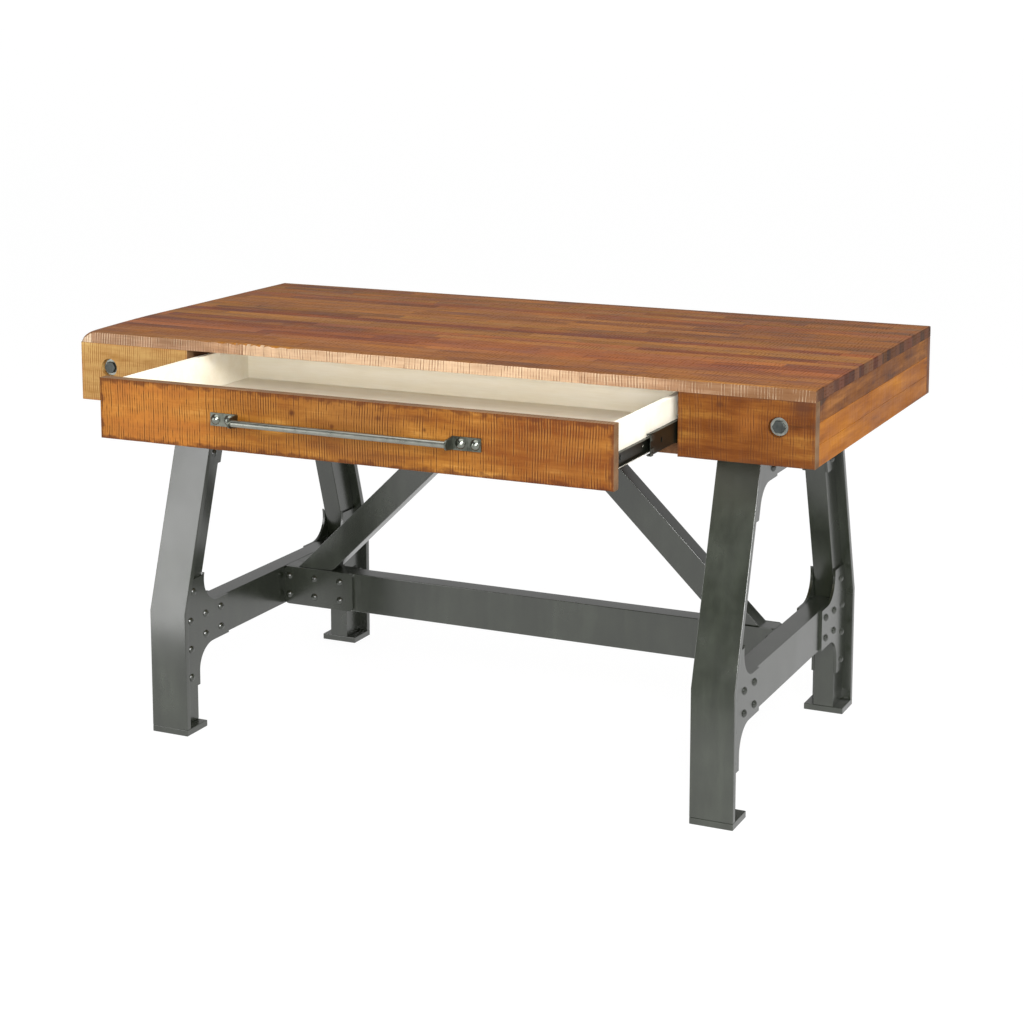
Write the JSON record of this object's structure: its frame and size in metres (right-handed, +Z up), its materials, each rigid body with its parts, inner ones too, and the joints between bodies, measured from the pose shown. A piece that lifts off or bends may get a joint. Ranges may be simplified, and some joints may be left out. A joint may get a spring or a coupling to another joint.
{
  "type": "writing desk with drawer",
  "caption": "Long plank-topped writing desk on two riveted steel trestles with a braced stretcher, and a wide front drawer with a bar handle on telescopic slides.",
  "frame": {"origin": "on the floor, under the middle of the space the desk fills with its drawer as far open as it is at rest", "axes": "+X to the right along the desk, +Y from the drawer to the back, +Z up"},
  "size_m": [1.424, 1.0338, 0.762],
  "materials": {
    "worktop_oak": "worn reddish-brown staved hardwood, saw-marked, matt wax",
    "case_oak": "brown reclaimed hardwood boards, saw-marked, matt wax",
    "side_oak": "golden amber reclaimed boards, matt wax",
    "drawer_front_oak": "amber reclaimed hardwood with dark streaks, matt wax",
    "hidden_softwood": "plain planed softwood, unfinished",
    "drawer_box_wood": "pale planed softwood, clear matt lacquer",
    "slide_steel": "black zinc-plated sheet steel, satin",
    "ball_steel": "bright bearing steel",
    "handle_steel": "brushed steel bar",
    "bracket_steel": "dull dark steel strip",
    "bolt_steel": "dull zinc-plated steel",
    "base_steel": "graphite green-grey paint on steel, satin, worn"
  },
  "bodies": {
    "desk": {"tabletop": "worktop_oak", "left_front_panel": "case_oak", "right_front_panel": "case_oak", "left_side_panel": "side_oak", "right_side_panel": "side_oak", "left_inner_wall": "hidden_softwood", "right_inner_wall": "hidden_softwood", "left_floor_panel": "hidden_softwood", "right_floor_panel": "hidden_softwood", "back_panel": "case_oak", "front_rail": "hidden_softwood", "middle_rail": "hidden_softwood", "corner_blocks": "hidden_softwood", "front_bolts": "bolt_steel", "front_washers": "bolt_steel", "left_slide_case_member": "slide_steel", "right_slide_case_member": "slide_steel", "case_slide_screws": "bolt_steel", "front_left_leg_plate": "base_steel", "front_right_leg_plate": "base_steel", "rear_left_leg_plate": "base_steel", "rear_right_leg_plate": "base_steel", "front_left_post": "base_steel", "front_right_post": "base_steel", "rear_left_post": "base_steel", "rear_right_post": "base_steel", "left_feet": "base_steel", "right_feet": "base_steel", "left_lower_rail": "base_steel", "right_lower_rail": "base_steel", "left_upper_rail": "base_steel", "right_upper_rail": "base_steel", "left_gussets": "base_steel", "right_gussets": "base_steel", "base_rivets": "base_steel", "stretcher": "base_steel", "left_brace": "base_steel", "right_brace": "base_steel", "stretcher_end_plates": "base_steel", "brace_head_plate": "base_steel", "base_screws": "bolt_steel"},
    "drawer": {"drawer_front": "drawer_front_oak", "drawer_inner_front": "drawer_box_wood", "drawer_left_side": "drawer_box_wood", "drawer_right_side": "drawer_box_wood", "drawer_back": "drawer_box_wood", "drawer_bottom": "drawer_box_wood", "handle_bar": "handle_steel", "left_handle_bracket": "bracket_steel", "right_handle_bracket": "bracket_steel", "handle_screws": "bracket_steel", "left_slide_drawer_member": "slide_steel", "right_slide_drawer_member": "slide_steel", "drawer_slide_screws": "bolt_steel"},
    "left_middle": {"left_slide_middle_member": "slide_steel"},
    "left_outer_cage": {"left_slide_outer_cage": "ball_steel"},
    "left_inner_cage": {"left_slide_inner_cage": "ball_steel"},
    "right_middle": {"right_slide_middle_member": "slide_steel"},
    "right_outer_cage": {"right_slide_outer_cage": "ball_steel"},
    "right_inner_cage": {"right_slide_inner_cage": "ball_steel"}
  },
  "joints": [
    {"name": "drawer_slide", "type": "slide", "parent": "desk", "child": "drawer", "axis": [0, -1, 0], "range_m": [-0.27, 0.13]},
    {"name": "left_middle_slide", "type": "slide", "parent": "desk", "child": "left_middle", "axis": [0, -1, 0], "range_m": [-0.135, 0.065]},
    {"name": "left_outer_cage_slide", "type": "slide", "parent": "desk", "child": "left_outer_cage", "axis": [0, -1, 0], "range_m": [-0.0675, 0.0325]},
    {"name": "left_inner_cage_slide", "type": "slide", "parent": "desk", "child": "left_inner_cage", "axis": [0, -1, 0], "range_m": [-0.2025, 0.0975]},
    {"name": "right_middle_slide", "type": "slide", "parent": "desk", "child": "right_middle", "axis": [0, -1, 0], "range_m": [-0.135, 0.065]},
    {"name": "right_outer_cage_slide", "type": "slide", "parent": "desk", "child": "right_outer_cage", "axis": [0, -1, 0], "range_m": [-0.0675, 0.0325]},
    {"name": "right_inner_cage_slide", "type": "slide", "parent": "desk", "child": "right_inner_cage", "axis": [0, -1, 0], "range_m": [-0.2025, 0.0975]}
  ],
  "couplings": [
    {"joint": "left_middle_slide", "follows": "drawer_slide", "ratio": 0.5},
    {"joint": "left_outer_cage_slide", "follows": "drawer_slide", "ratio": 0.25},
    {"joint": "left_inner_cage_slide", "follows": "drawer_slide", "ratio": 0.75},
    {"joint": "right_middle_slide", "follows": "drawer_slide", "ratio": 0.5},
    {"joint": "right_outer_cage_slide", "follows": "drawer_slide", "ratio": 0.25},
    {"joint": "right_inner_cage_slide", "follows": "drawer_slide", "ratio": 0.75}
  ]
}
